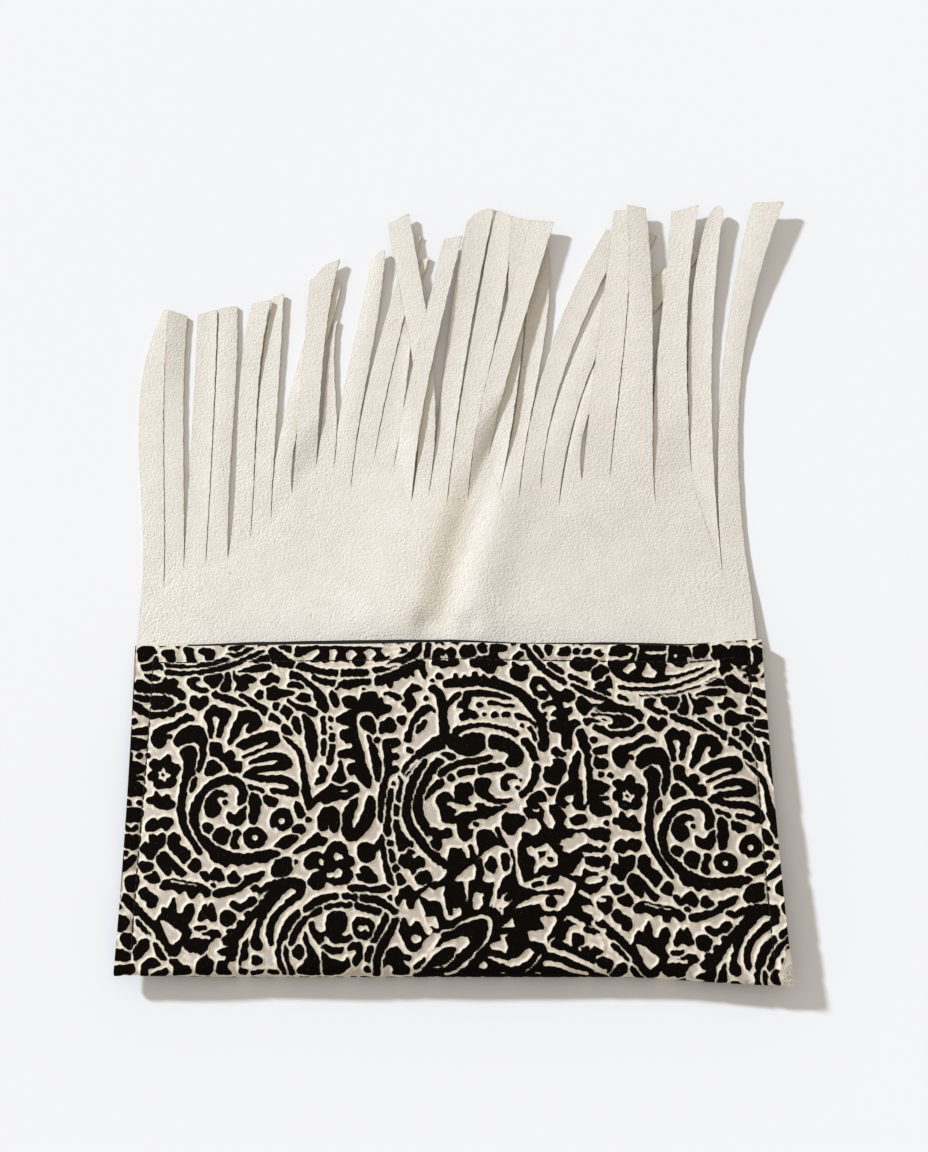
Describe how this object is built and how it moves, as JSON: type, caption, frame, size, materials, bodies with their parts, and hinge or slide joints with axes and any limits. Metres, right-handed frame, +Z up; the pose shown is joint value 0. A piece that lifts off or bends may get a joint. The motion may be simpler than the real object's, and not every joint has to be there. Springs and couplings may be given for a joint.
{
  "type": "fringed clutch bag",
  "caption": "Flat clutch bag with a paisley-printed fabric pouch and a suede flap cut into a long fringe, lying on its back with the flap thrown open.",
  "frame": {"origin": "middle of the pouch's flat back, where it lies on the surface", "axes": "+X to the right along the mouth, +Y from the bottom fold towards the fringe, +Z up out of the printed front"},
  "size_m": [0.2897, 0.3553, 0.0145],
  "materials": {
    "print": "matte, flocked paisley print in black on cream and taupe",
    "lining": "matte black",
    "suede": "off-white suede nap"
  },
  "bodies": {
    "root": {"pouch_shell": "print", "mouth_facing": "lining", "flap": "suede"}
  },
  "joints": []
}
